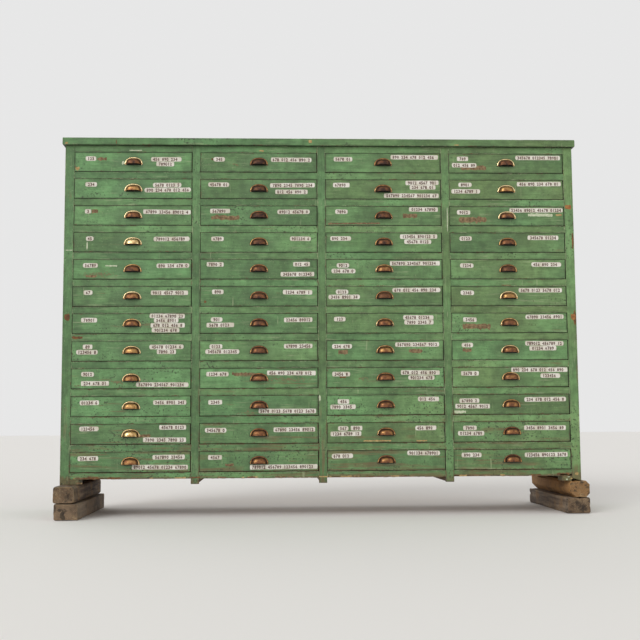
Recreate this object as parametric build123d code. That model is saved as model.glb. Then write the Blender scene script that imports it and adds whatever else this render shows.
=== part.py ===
from build123d import *
from math import cos, pi, radians, sin
import os

# A floor-standing bank of shallow drawers, four columns of twelve: a painted face frame on plain panels,
# drawers that slide on bars, and two pairs of loose timber bearers that keep it off the floor.
# Millimetres. X runs along the front, Y from front to back, Z up. The origin is on the floor, in the
# middle of the space that the whole piece takes up.

# front of the carcass
columns = 4
rows = 12
opening_width = 559          # clear width between two stiles
opening_height = 97          # clear height between two rails
rail_height = 32.2
top_rail_height = 32
bottom_rail_height = 30
mid_stile_width = 38
end_stile_width = 44
foot_height = 24             # how far the stiles run down past the bottom rail

# carcass
carcass_depth = 610
frame_thickness = 22         # stiles and rails, front to back
panel_thickness = 20         # end panels and partitions
back_thickness = 15
back_boards = 8
back_lap = 9                 # how far a back board laps over the next one
bottom_thickness = 12
top_thickness = 34
top_boards = 3
top_end_overhang = 12
top_front_overhang = 18
top_arris = 4                # bevel along the front edge of the top
foot_block_width = 44
foot_block_depth = 90

# bars that carry and steer the drawers
runner_tread = 20            # how far a runner reaches in under a drawer
guide_height = 30

# drawers
front_thickness = 20
front_side_gap = 2.5         # at each end of a drawer front
front_top_gap = 1.5
front_bottom_gap = 2.8
front_lap = 8                # wood left in front of the rebate that takes a side
side_thickness = 12
side_height = 84
drawer_bottom_thickness = 6
bottom_rebate = 6            # how far the bottom lets into a side
drawer_back_thickness = 12
drawer_back_height = 66
drawer_rear_gap = 35         # from the back of a drawer to the back boards
running_gap = 0.3            # between a drawer side and its runner

# cup pull
pull_half_width = 44
pull_height = 37
pull_drop = 23               # from the top of the drawer front to the top of the pull
plate_thickness = 2
plate_band = 8.5             # width of the flange round the cup
cup_depth = 23
cup_wall = 1.6
cup_fullness = 0.6           # 1 is a true dome, less is squarer
cup_last_turn = 78           # degrees up the dome at which the flat crown starts
arch_facets = 7
cup_bands = 3
hollow_bands = 2

# bearers
bearer_corner = 7
bearer_wane = 26                 # missing corner along the underside of one bearer, where the bark was
upper_bearer_width = 100
upper_bearer_height = 77
lower_bearer_width = 114
lower_bearer_height = 75
left_bearer_front_reach = 120    # how far the left pair stands out in front of the carcass
right_bearer_front_reach = 15
left_upper_end_reach = 9         # how far each bearer stands out past the end of the carcass
left_lower_end_reach = 5
right_upper_end_reach = 38
right_lower_end_reach = 39

# places that follow from the sizes above
column_pitch = opening_width + mid_stile_width
row_pitch = opening_height + rail_height
carcass_width = columns * column_pitch - mid_stile_width + 2 * end_stile_width
half_width = carcass_width / 2
front_y = -carcass_depth / 2
rear_y = carcass_depth / 2
inside_front_y = front_y + frame_thickness
inside_rear_y = rear_y - back_thickness
foot_z = lower_bearer_height + upper_bearer_height
base_z = foot_z + foot_height
first_opening_z = base_z + bottom_rail_height
top_opening_z = first_opening_z + (rows - 1) * row_pitch + opening_height
carcass_top_z = top_opening_z + top_rail_height
box_width = opening_width - 2 * front_side_gap
drawer_length = carcass_depth - back_thickness - drawer_rear_gap
left_reach = max(top_end_overhang, left_upper_end_reach, left_lower_end_reach)
right_reach = max(top_end_overhang, right_upper_end_reach, right_lower_end_reach)
middle_shift = (left_reach - right_reach) / 2


def opening_left_x(column):
    return -half_width + end_stile_width + column * column_pitch


def opening_floor_z(row):
    """Row 0 is the top row."""
    return first_opening_z + (rows - 1 - row) * row_pitch


def board(x_ends, y_ends, z_ends):
    """A sawn board or bar between two places along each axis."""
    sizes = [ends[1] - ends[0] for ends in (x_ends, y_ends, z_ends)]
    middles = [(ends[0] + ends[1]) / 2 for ends in (x_ends, y_ends, z_ends)]
    return Pos(*middles) * Box(*sizes)


def panel_faces():
    """Left and right face of each upright panel, from the left end to the right."""
    faces = [(-half_width, -half_width + panel_thickness)]
    for column in range(1, columns):
        middle = opening_left_x(column) - mid_stile_width / 2
        faces.append((middle - panel_thickness / 2, middle + panel_thickness / 2))
    faces.append((half_width - panel_thickness, half_width))
    return faces


def upright_panels():
    depth = (inside_front_y, inside_rear_y)
    return [board(faces, depth, (foot_z, carcass_top_z)) for faces in panel_faces()]


def face_stiles():
    edges = [-half_width]
    for column in range(columns):
        edges += [opening_left_x(column), opening_left_x(column) + opening_width]
    edges.append(half_width)
    thickness = (front_y, inside_front_y)
    height = (foot_z, carcass_top_z)
    return [board(edges[i:i + 2], thickness, height) for i in range(0, len(edges), 2)]


def face_rails():
    heights = [(base_z, first_opening_z), (top_opening_z, carcass_top_z)]
    for row in range(rows - 1):
        floor = opening_floor_z(row)
        heights.append((floor - rail_height, floor))
    rails = []
    for column in range(columns):
        left = opening_left_x(column)
        for height in heights:
            rails.append(board((left, left + opening_width), (front_y, inside_front_y), height))
    return rails


def bar_places():
    """Panel face, edge of the opening and inward direction for both sides of every column."""
    faces = panel_faces()
    places = []
    for column in range(columns):
        left = opening_left_x(column)
        places.append((faces[column][1], left, 1))
        places.append((faces[column + 1][0], left + opening_width, -1))
    return places


def runners():
    """Bars along both sides of every column, under each drawer and over the top ones."""
    bars = []
    for panel_x, edge_x, inward in bar_places():
        ends = sorted((panel_x, edge_x + inward * runner_tread))
        heights = [(top_opening_z, carcass_top_z), (base_z + bottom_thickness, first_opening_z)]
        for row in range(rows - 1):
            floor = opening_floor_z(row)
            heights.append((floor - rail_height, floor))
        for height in heights:
            bars.append(board(ends, (inside_front_y, inside_rear_y), height))
    return bars


def guides():
    """Strips on the runners that bring the panels out to the edges of the openings."""
    strips = []
    for panel_x, edge_x, inward in bar_places():
        for row in range(rows):
            floor = opening_floor_z(row)
            ends = sorted((panel_x, edge_x))
            strips.append(board(ends, (inside_front_y, inside_rear_y), (floor, floor + guide_height)))
    return strips


def bottom_boards():
    faces = panel_faces()
    height = (base_z, base_z + bottom_thickness)
    boards = []
    for column in range(columns):
        ends = (faces[column][1], faces[column + 1][0])
        boards.append(board(ends, (inside_front_y, inside_rear_y), height))
    return boards


def lapped_boards():
    """Back boards, each rebated along both edges so that its outer half laps over the one below."""
    half = back_thickness / 2
    ends = (-half_width, half_width)
    height = (carcass_top_z - base_z) / back_boards
    boards = []
    for i in range(back_boards):
        low = base_z + i * height
        high = low + height
        outer_low = low - back_lap if i > 0 else low
        outer_high = high - back_lap if i < back_boards - 1 else high
        inner_half = board(ends, (inside_rear_y, inside_rear_y + half), (low, high))
        outer_half = board(ends, (inside_rear_y + half, rear_y), (outer_low, outer_high))
        boards.append(inner_half + outer_half)
    return boards


def top_planks():
    """Long planks side by side, the front one with bevelled edges."""
    front = front_y - top_front_overhang
    width = (rear_y - front) / top_boards
    length = carcass_width + 2 * top_end_overhang
    ends = (-length / 2, length / 2)
    height = (carcass_top_z, carcass_top_z + top_thickness)
    planks = []
    for i in range(top_boards):
        planks.append(board(ends, (front + i * width, front + (i + 1) * width), height))
    front_edges = planks[0].edges().filter_by(Axis.X).group_by(Axis.Y)[0]
    planks[0] = chamfer(front_edges, top_arris)
    return planks


def foot_blocks():
    """Short blocks beside the end stiles, at the front and at the back."""
    blocks = []
    for side in (-1, 1):
        stile_x = side * (half_width - end_stile_width)
        ends = sorted((stile_x, stile_x - side * foot_block_width))
        for y in (front_y, rear_y - foot_block_depth):
            blocks.append(board(ends, (y, y + foot_block_depth), (foot_z, base_z)))
    return blocks


def bearer(width, height, outer_x, side, floor_z, wane=bearer_corner):
    """One timber with broken corners, from front to back under an end of the carcass."""
    front_reach = left_bearer_front_reach if side < 0 else right_bearer_front_reach
    length = carcass_depth + left_bearer_front_reach + right_bearer_front_reach
    corners = Rectangle(width, height).vertices().sort_by(Axis.Y)
    lower_inner = corners[:2].sort_by(Axis.X)[0 if side > 0 else 1]
    others = [corner for corner in corners if corner != lower_inner]
    outline = chamfer(others, bearer_corner)
    outline = chamfer(outline.vertices().sort_by_distance(lower_inner)[0], wane)
    middle_x = side * (half_width + outer_x - width / 2)
    section = Plane.XZ.offset(-front_y + front_reach) * Pos(middle_x, floor_z + height / 2) * outline
    return extrude(section, amount=-length)


def arch(half, height, base, out):
    """Corners of a faceted half oval over a straight base, standing clear of the drawer front."""
    turns = [pi * i / arch_facets for i in range(arch_facets + 1)]
    return [Vector(half * cos(turn), -out, base + height * sin(turn)) for turn in turns]


def flat_face(corners):
    return make_face(Polyline(*corners, close=True))


def dome(half, height, depth, base, start, bands):
    """Arches that shrink as they come forward, joined by flat facets, as a cup's wall is."""
    rings = [arch(half, height, base, start)]
    for i in range(1, bands + 1):
        turn = radians(cup_last_turn) * i / bands
        size = cos(turn) ** cup_fullness
        out = depth * sin(turn) ** cup_fullness
        rings.append(arch(half * size, height * size, base, out))
    facets = [flat_face(rings[0]), flat_face(rings[-1])]
    for ring, next_ring in zip(rings, rings[1:]):
        for i in range(len(ring)):
            facets.append(flat_face([ring[i - 1], ring[i], next_ring[i], next_ring[i - 1]]))
    return Solid(Shell(facets))


def cup_pull(base):
    """A flanged cup, hollow behind and open underneath."""
    plate_outline = flat_face(arch(pull_half_width, pull_height, base, 0))
    plate = extrude(plate_outline, amount=plate_thickness, dir=(0, -1, 0))
    cup_half = pull_half_width - plate_band
    cup_height = pull_height - plate_band
    cup = dome(cup_half, cup_height, cup_depth, base, 0, cup_bands)
    hollow = dome(cup_half - cup_wall, cup_height, cup_depth - cup_wall, base - cup_wall,
                  -cup_wall, hollow_bands)
    return plate + cup - hollow


def drawer_front():
    """A plank rebated at both ends, so that the sides tuck in behind it."""
    half = box_width / 2
    inner = half - side_thickness
    outline = Polyline(
        (-half, 0), (half, 0), (half, front_lap), (inner, front_lap), (inner, front_thickness),
        (-inner, front_thickness), (-inner, front_lap), (-half, front_lap), close=True)
    height = opening_height - front_top_gap - front_bottom_gap
    return extrude(Plane.XY.offset(front_bottom_gap) * make_face(outline), amount=height)


def drawer_side(side):
    """A side with a rebate along its lower inner edge for the bottom."""
    outer = side * box_width / 2
    inner = outer - side * side_thickness
    ledge = outer - side * (side_thickness - bottom_rebate)
    low = running_gap
    ledge_z = low + drawer_bottom_thickness
    high = low + side_height
    outline = Polyline(
        (outer, low), (ledge, low), (ledge, ledge_z), (inner, ledge_z), (inner, high), (outer, high),
        close=True)
    section = Plane.XZ.offset(-front_lap) * make_face(outline)
    return extrude(section, amount=-(drawer_length - front_lap))


def drawer():
    """Front face at Y 0, middle at X 0 and the floor of its opening at Z 0."""
    inner = box_width / 2 - side_thickness
    bottom_half = inner + bottom_rebate
    bottom_top = running_gap + drawer_bottom_thickness
    back_front = drawer_length - drawer_back_thickness
    bottom = board((-bottom_half, bottom_half), (front_thickness, drawer_length), (running_gap, bottom_top))
    back = board((-inner, inner), (back_front, drawer_length), (bottom_top, bottom_top + drawer_back_height))
    pull = cup_pull(opening_height - front_top_gap - pull_drop - pull_height)
    return [drawer_front(), drawer_side(-1), drawer_side(1), back, bottom, pull]


def save(name, pieces):
    solids = []
    for piece in pieces:
        moved = Pos(middle_shift, 0, 0) * piece
        solids += moved.solids()
    export_step(Compound(children=solids), f"parts/{name}.step")


os.makedirs("parts", exist_ok=True)
panels = upright_panels()
save("end_panels", [panels[0], panels[-1]])
save("partitions", panels[1:-1])
save("face_stiles", face_stiles())
save("face_rails", face_rails())
save("runners", runners())
save("guides", guides())
save("bottom_boards", bottom_boards())
save("back_boards", lapped_boards())
save("top_boards", top_planks())
save("foot_blocks", foot_blocks())
save("upper_bearers", [
    bearer(upper_bearer_width, upper_bearer_height, left_upper_end_reach, -1, lower_bearer_height),
    bearer(upper_bearer_width, upper_bearer_height, right_upper_end_reach, 1, lower_bearer_height,
           bearer_wane)])
save("lower_bearers", [
    bearer(lower_bearer_width, lower_bearer_height, left_lower_end_reach, -1, 0),
    bearer(lower_bearer_width, lower_bearer_height, right_lower_end_reach, 1, 0)])

drawer_pieces = drawer()
for column in range(columns):
    for row in range(rows):
        place = Pos(opening_left_x(column) + opening_width / 2, front_y, opening_floor_z(row))
        save(f"drawer_r{row + 1:02d}_c{column + 1}", [place * piece for piece in drawer_pieces])
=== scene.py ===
import bpy
import bmesh
import math
import random
from mathutils import Matrix, Vector, noise


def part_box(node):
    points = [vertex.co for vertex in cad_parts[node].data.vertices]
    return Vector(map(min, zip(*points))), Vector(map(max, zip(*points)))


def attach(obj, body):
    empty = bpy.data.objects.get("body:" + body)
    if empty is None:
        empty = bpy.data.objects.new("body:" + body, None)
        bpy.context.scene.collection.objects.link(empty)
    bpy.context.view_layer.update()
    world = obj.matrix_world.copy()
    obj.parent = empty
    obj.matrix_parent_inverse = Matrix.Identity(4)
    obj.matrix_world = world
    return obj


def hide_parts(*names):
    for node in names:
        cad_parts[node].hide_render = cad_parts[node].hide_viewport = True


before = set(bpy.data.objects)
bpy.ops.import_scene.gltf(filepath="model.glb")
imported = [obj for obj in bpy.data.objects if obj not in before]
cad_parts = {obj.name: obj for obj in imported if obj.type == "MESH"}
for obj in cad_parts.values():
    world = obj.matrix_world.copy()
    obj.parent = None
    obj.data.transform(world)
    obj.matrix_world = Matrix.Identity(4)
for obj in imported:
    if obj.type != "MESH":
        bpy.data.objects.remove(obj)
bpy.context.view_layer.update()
scene = bpy.context.scene
mm = 0.001
dice = random.Random(4620)      # the one source of chance, so every run gives the same cabinet


# Small helpers

def hexColour(text):   # an sRGB hex value as the linear colour that Blender wants
    values = [int(text[i:i + 2], 16) / 255 for i in (1, 3, 5)]
    return [v / 12.92 if v <= 0.04045 else ((v + 0.055) / 1.055) ** 2.4 for v in values] + [1.0]


def addNode(tree, kind, inputs=None, **settings):   # one node, its settings and what goes into it
    node = tree.nodes.new(kind)
    for name, value in settings.items():
        setattr(node, name, value)
    for socket, value in (inputs or {}).items():
        if isinstance(value, bpy.types.NodeSocket):
            tree.links.new(value, node.inputs[socket])
        else:
            node.inputs[socket].default_value = value
    return node


def calc(tree, kind, one, two=0.0):
    return addNode(tree, "ShaderNodeMath", {0: one, 1: two}, operation=kind).outputs[0]


def newMaterial(name):
    material = bpy.data.materials.new(name)
    material.use_nodes = True
    material.node_tree.nodes.clear()
    return material, material.node_tree


def newObject(name, data, *materials):
    thing = bpy.data.objects.new(name, data)
    scene.collection.objects.link(thing)
    for material in materials:
        data.materials.append(material)
    return thing


def baked(thing):   # the mesh that a thing's modifiers make of it; the thing itself goes
    mesh = bpy.data.meshes.new_from_object(thing.evaluated_get(bpy.context.evaluated_depsgraph_get()))
    bpy.data.objects.remove(thing)
    return mesh


def dress(thing, body, slot, *nodes):   # which body carries a piece and the solids it stands for, which are hidden; slot is not used
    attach(thing, body)
    if nodes:
        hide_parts(*nodes)
    return thing


# Camera, floor and lamps

view = {
    "photoWidth": 640,              # pixels
    "focal": 1050,                  # pixels
    "sensor": 36,                   # mm
    "sightEnd": 100,                # metres
    "eye": (-0.2365, -5.2525, 0.4271),
    "turn": 2.462,                  # degrees to the right of straight on
    "tilt": 5.642,                  # degrees up
    "roll": -0.36,
}


def addCamera():
    turn, tilt, roll = (math.radians(view[key]) for key in ("turn", "tilt", "roll"))
    ahead = Vector((math.sin(turn) * math.cos(tilt), math.cos(turn) * math.cos(tilt), math.sin(tilt)))
    right = Vector((math.cos(turn), -math.sin(turn), 0))
    up = right.cross(ahead)
    right, up = (math.cos(roll) * right + math.sin(roll) * up, math.cos(roll) * up - math.sin(roll) * right)
    data = bpy.data.cameras.new("camera")
    data.sensor_width = view["sensor"]
    data.lens = view["focal"] * data.sensor_width / view["photoWidth"]
    data.clip_end = view["sightEnd"]
    camera = newObject("camera", data)
    turned = Matrix((right, up, -ahead)).transposed()
    camera.matrix_world = Matrix.Translation(view["eye"]) @ turned.to_4x4()
    scene.camera = camera


studio = {
    "floor": "#EFEDEA",
    "floorReach": 40,               # metres each way
    "floorRoughness": 0.9,
    "air": "#F4F3F1",
    "airStrength": 0.66,
    "backdrop": 0.8,
    "sunFrom": (-3.0, -4.6, 4.0),   # a very broad sun, so that the floor is as pale far off as near
    "sunStrength": 1.35,
    "sunAngle": 38,                 # degrees
    "backFrom": (-2.5, 4.8, 3.0),
    "backStrength": 0.3,
    "fillPlace": (4.2, -4.2, 2.4),
    "fillSize": 3.5,                # metres
    "fillPower": 18,                # watts
    "aimAt": (0, 0, 0.9),           # the middle of the cabinet
}


def aimLamp(data, spot):
    lamp = newObject(data.name, data)
    lamp.location = spot
    lamp.rotation_euler = (Vector(studio["aimAt"]) - Vector(spot)).to_track_quat("-Z", "Y").to_euler()


def addStudio():
    mesh = bpy.data.meshes.new("floor")
    reach = studio["floorReach"]
    mesh.from_pydata([(-reach, -reach, 0), (reach, -reach, 0), (reach, reach, 0), (-reach, reach, 0)],
                     [], [(0, 1, 2, 3)])
    material, tree = newMaterial("studioFloor")
    shader = addNode(tree, "ShaderNodeBsdfPrincipled",
                     {"Base Color": hexColour(studio["floor"]), "Roughness": studio["floorRoughness"]})
    addNode(tree, "ShaderNodeOutputMaterial", {"Surface": shader.outputs[0]})
    newObject("floor", mesh, material)
    fill = bpy.data.lights.new("fill", "AREA")
    fill.shape = "DISK"
    fill.size = studio["fillSize"]
    fill.energy = studio["fillPower"]
    aimLamp(fill, studio["fillPlace"])
    for name in ("sun", "back"):
        sun = bpy.data.lights.new(name, "SUN")
        sun.energy = studio[name + "Strength"]
        sun.angle = math.radians(studio["sunAngle"])
        aimLamp(sun, studio[name + "From"])
    world = bpy.data.worlds.new("air")
    world.use_nodes = True
    scene.world = world
    tree = world.node_tree
    tree.nodes.clear()
    light = addNode(tree, "ShaderNodeBackground",
                    {"Color": hexColour(studio["air"]), "Strength": studio["airStrength"]})
    white = addNode(tree, "ShaderNodeBackground", {"Color": (1, 1, 1, 1), "Strength": studio["backdrop"]})
    path = addNode(tree, "ShaderNodeLightPath").outputs
    seen = calc(tree, "MAXIMUM", path["Is Camera Ray"], path["Is Glossy Ray"])
    through = calc(tree, "MAXIMUM", seen, path["Is Transmission Ray"])
    mix = addNode(tree, "ShaderNodeMixShader", {0: through, 1: light.outputs[0], 2: white.outputs[0]})
    addNode(tree, "ShaderNodeOutputWorld", {"Surface": mix.outputs[0]})


scene.view_settings.view_transform = "Standard"
addCamera()
addStudio()
print("camera, floor and lamps are set")


# Pieces that every finish is made of

def times(tree, one, two):
    return calc(tree, "MULTIPLY", one, two)


def calcVector(tree, kind, one, two=(0, 0, 0)):
    node = addNode(tree, "ShaderNodeVectorMath", {0: one, 1: two}, operation=kind)
    return node.outputs["Value" if kind in ("DOT_PRODUCT", "LENGTH") else "Vector"]


def scaled(tree, vector, amount):
    return addNode(tree, "ShaderNodeVectorMath", {0: vector, "Scale": amount}, operation="SCALE").outputs[0]


def axes(tree, vector):   # its X, Y and Z
    return addNode(tree, "ShaderNodeSeparateXYZ", {0: vector}).outputs


def spread(tree, value, start, end, low=0.0, high=1.0):   # start..end eased onto low..high, held at both
    node = addNode(tree, "ShaderNodeMapRange", {
        "Value": value, "From Min": start, "From Max": end, "To Min": low, "To Max": high},
        interpolation_type="SMOOTHSTEP")
    return node.outputs["Result"]


def blendColour(tree, amount, under, over, way="MIX"):
    node = addNode(tree, "ShaderNodeMix", data_type="RGBA", blend_type=way)
    for index, value in ((0, amount), (6, under), (7, over)):
        if isinstance(value, bpy.types.NodeSocket):
            tree.links.new(value, node.inputs[index])
        else:
            node.inputs[index].default_value = value
    return node.outputs[2]


def layered(tree, colour, look, layers):   # each layer: its mask, how strong it is, the name of its colour
    for mask, share, name in layers:
        colour = blendColour(tree, times(tree, mask, share), colour, hexColour(look[name]))
    return colour


def speckle(tree, where, size, detail, rough, *band):   # cloudy noise with blotches about size mm across
    cloud = addNode(tree, "ShaderNodeTexNoise", {"Vector": where, "Scale": 500 / size, "Detail": detail,
                                                 "Roughness": rough}).outputs["Fac"]
    return spread(tree, cloud, *band) if band else cloud


def attribute(tree, name, output="Fac"):
    return addNode(tree, "ShaderNodeAttribute", attribute_name=name).outputs[output]


def woodPlaces(tree, stretch):   # sockets that every wooden finish uses, from the board attributes
    here = addNode(tree, "ShaderNodeTexCoord").outputs["Object"]
    tone = attribute(tree, "boardTone")
    way, low, high = (attribute(tree, name, "Vector") for name in ("grainWay", "boardLow", "boardHigh"))
    own = calcVector(tree, "ADD", here, scaled(tree, (3.71, 1.97, 5.33), tone))    # each board cut elsewhere
    less = times(tree, calcVector(tree, "DOT_PRODUCT", own, way), stretch - 1)
    grain = calcVector(tree, "ADD", own, scaled(tree, way, less))
    near = axes(tree, calcVector(tree, "MINIMUM", calcVector(tree, "SUBTRACT", here, low),
                                 calcVector(tree, "SUBTRACT", high, here)))
    least = calc(tree, "MINIMUM", near[0], near[1])
    most = calc(tree, "MAXIMUM", near[0], near[1])
    edge = calc(tree, "MAXIMUM", least, calc(tree, "MINIMUM", most, near[2]))   # metres to the nearest arris
    facing = addNode(tree, "ShaderNodeNewGeometry").outputs["Normal"]
    endOn = calc(tree, "ABSOLUTE", calcVector(tree, "DOT_PRODUCT", facing, way))
    faceOn = calc(tree, "ABSOLUTE", axes(tree, facing)[1])
    middle = scaled(tree, calcVector(tree, "ADD", low, high), 0.5)
    return {"here": here, "own": own, "grain": grain, "edge": edge, "tone": tone, "endOn": endOn,
            "faceOn": faceOn, "fromMiddle": calcVector(tree, "SUBTRACT", here, middle)}


def finishSurface(tree, colour, roughness, bumps, metallic=0.0):   # bumps: (height, metres, strength)
    normal = None
    for height, distance, strength in bumps:
        inputs = {"Height": height, "Distance": distance, "Strength": strength}
        if normal:
            inputs["Normal"] = normal
        normal = addNode(tree, "ShaderNodeBump", inputs).outputs[0]
    shader = addNode(tree, "ShaderNodeBsdfPrincipled", {
        "Base Color": colour, "Roughness": roughness, "Metallic": metallic, "Normal": normal})
    addNode(tree, "ShaderNodeOutputMaterial", {"Surface": shader.outputs[0]})


# Green oil paint. In every look a row of three numbers is cloudy noise: mm across, detail, roughness.
# Two more make it a mask, from where it starts to where it is full, and another two give its least and most.

paintLook = {
    "fresh": "#54784B",          # the sound paint
    "faded": "#68935F",          # where light has bleached it
    "olive": "#75834F",          # where old varnish has yellowed it, more to the right
    "worn": "#6A5537",           # primer and wood where it has rubbed thin
    "paleRubAndHighlight": "#A6B088",            # pale line along the arrises, part rubbed paint and part painted highlight; also pale streaks, scrapes and flecks
    "dirt": "#2A2B1B",
    "gap": "#15150E",            # painted shade on board sides inside the gaps, under the top's overhang and behind the pull cups
    "rubMm": 1.6,
    "dirtMm": 11,
    "patches": (150, 3, 0.55, 0.36, 0.68),                 # the faded ones
    "yellowed": (260, 2, 0.55, 0.35, 0.65, 0.2, 1),
    "mottle": (22, 6, 0.68),                               # uneven brushing
    "broad": (6, 4, 0.6),                                  # ridges of the wood below
    "fine": (1.5, 3, 0.6),
    "thin": (12, 7, 0.72),                                 # rubbed streaks
    "wide": (110, 3, 0.6),                                 # where the streaks gather
    "scratch": (2.5, 2, 0.4),
    "slash": (5, 3, 0.5, 0.68, 0.73),
    # pale streaks along the grain, painted highlights
    "bleached": (5, 5, 0.65, 0.55, 0.68),
    "bleachPlace": (90, 3, 0.6, 0.45, 0.62),
    "ragged": (5, 6, 0.7, 0.35, 0.72),                     # how far the rubbing reaches in
    "rubPlace": (70, 3, 0.6, 0.42, 0.6),
    "chips": (30, 5, 0.7),
    "grime": (40, 6, 0.65, 0.35, 0.72),
    "strewn": (150, 4, 0.6),                               # where the dark spots lie
    "dots": (4.5, 2, 0.4, 0.61, 0.66),
}


def makePaint():   # oil paint brushed on pine: satin, ridged by grain, rubbed at arrises with painted highlights there, dirty in corners, painted shade in the gaps
    look = paintLook
    material, tree = newMaterial("brushedOilPaintOnPine")
    at = woodPlaces(tree, 0.06)
    own, grain, edge, handled = at["own"], at["grain"], at["edge"], attribute(tree, "handled")
    place = axes(tree, at["here"])
    mottle = speckle(tree, own, *look["mottle"])
    broad = speckle(tree, grain, *look["broad"])
    fine = speckle(tree, grain, *look["fine"])
    colour = blendColour(tree, speckle(tree, own, *look["patches"]), hexColour(look["fresh"]),
                         hexColour(look["faded"]))
    yellow = times(tree, spread(tree, place[0], -0.9, 1.1, 0.05, 0.42), speckle(tree, own, *look["yellowed"]))
    colour = layered(tree, colour, look, [(yellow, 1, "olive")])
    shade = addNode(tree, "ShaderNodeHueSaturation", {
        "Hue": spread(tree, at["tone"], 0, 1, 0.494, 0.506),
        "Value": spread(tree, calc(tree, "FRACT", times(tree, at["tone"], 7.31)), 0, 1, 0.88, 1.1),
        "Color": colour})
    colour = shade.outputs[0]
    for height, dark, light in ((mottle, 0.68, 1.2), (broad, 0.86, 1.08), (fine, 0.9, 1.07)):
        colour = blendColour(tree, 1.0, colour, blendColour(
            tree, spread(tree, height, 0.28, 0.72), (dark, dark, dark * 0.97, 1), (light, light, light, 1)),
            "MULTIPLY")
    lowDown = calc(tree, "ADD", spread(tree, place[2], 0.9, 0.12, 0.0, 0.09),
                   times(tree, attribute(tree, "battered"), spread(tree, place[2], 0.2, 0.16)))
    thin, wide, chipPlace, strewn = (
        calc(tree, "ADD", speckle(tree, where, *look[name]), lowDown)
        for where, name in ((grain, "thin"), (own, "wide"), (own, "chips"), (own, "strewn")))
    thinned = times(tree, spread(tree, thin, 0.58, 0.68), spread(tree, wide, 0.5, 0.62))
    cross = addNode(tree, "ShaderNodeMapping", {0: own, "Rotation": (0, 0.6, 0), "Scale": (1, 1, 0.06)})
    scraped = times(tree, speckle(tree, cross.outputs[0], *look["slash"]), spread(tree, wide, 0.5, 0.58))
    # painted highlights: pale streaks along the grain
    bleached = times(tree, speckle(tree, grain, *look["bleached"]), speckle(tree, own, *look["bleachPlace"]))
    reach = speckle(tree, own, *look["ragged"], 0.0, 2.4 * look["rubMm"] * mm)
    # pale along the arrises: part rubbed paint, part painted highlight
    rubbed = times(tree, spread(tree, calc(tree, "SUBTRACT", edge, reach), 0.0005, -0.0004),
                   speckle(tree, own, *look["rubPlace"]))
    rubShare = times(tree, rubbed, spread(tree, handled, 0, 1, 0.8, 0.35))
    chipEdge = spread(tree, calc(tree, "SUBTRACT", edge, times(tree, reach, 1.6)), 0.0004, -0.0004)
    chipped = times(tree, chipEdge, spread(tree, chipPlace, 0.58, 0.62))
    grime = times(tree, spread(tree, edge, look["dirtMm"] * mm, 0.001), speckle(tree, own, *look["grime"]))
    rim = times(tree, spread(tree, edge, 0.0022, 0.0006, 0, 0.45), handled)
    oval = calcVector(tree, "MULTIPLY", at["fromMiddle"], (10.0, 0, 24.0))      # about the pull
    hands = times(tree, spread(tree, calcVector(tree, "LENGTH", oval), 1.3, 0.35),
                  times(tree, handled, spread(tree, mottle, 0.3, 0.7, 0.25, 1)))
    cupped = calcVector(tree, "MULTIPLY", calcVector(tree, "ADD", at["fromMiddle"], (0, 0, 0.014)),
                        (20.5, 0, 24.0))        # the upper half of this lies behind the cup and gets painted shade, so the cup's mouth looks dark
    shadeBehindCup = times(tree, times(tree, spread(tree, calcVector(tree, "LENGTH", cupped), 1.0, 0.8),
                               spread(tree, axes(tree, cupped)[2], -0.08, 0.0)), handled)
    scratch = speckle(tree, own, *look["scratch"])
    dots = times(tree, speckle(tree, own, *look["dots"]), spread(tree, strewn, 0.54, 0.64))
    # painted shade: faces that don't look to the front are darkened where they lie in a gap or under the top
    inGap = times(tree, spread(tree, at["faceOn"], 0.6, 0.35), attribute(tree, "inGap"))
    colour = layered(tree, colour, look, (
        (thinned, 0.72, "worn"), (scraped, 0.5, "paleRubAndHighlight"), (bleached, 0.45, "paleRubAndHighlight"), (rubShare, 1, "paleRubAndHighlight"),
        (chipped, 0.9, "worn"), (grime, 0.5, "dirt"), (rim, 1, "dirt"), (hands, 0.32, "dirt"),
        (shadeBehindCup, 0.95, "gap"), (spread(tree, scratch, 0.69, 0.74), 0.6, "dirt"), (dots, 0.75, "dirt"),
        (spread(tree, scratch, 0.3, 0.26), 0.4, "paleRubAndHighlight"), (inGap, 0.9, "gap")))
    roughness = spread(tree, calc(tree, "SUBTRACT", mottle, hands), -0.2, 0.8, 0.42, 0.68)
    finishSurface(tree, colour, roughness, (
        (broad, 0.0005, 0.5), (fine, 0.00025, 0.45), (mottle, 0.0006, 0.35), (thinned, -0.0003, 0.6)))
    return material


# Bare wood of the drawer boxes, runners and back

pineLook = {
    "pale": "#A37F52",
    "deep": "#7D5B38",
    "ring": "#5E4226",
    "dust": "#65584A",
    "broad": (8, 4, 0.55),                                 # its rings
    "fine": (1.2, 2, 0.55),
    "sway": (70, 2, 0.55, 0.5, 0.75),
    "dusty": (75, 6, 0.65, 0.38, 0.7),
    "grime": (45, 5, 0.6, 0.4, 0.7),
    "stains": (28, 5, 0.7, 0.62, 0.72),
}


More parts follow.
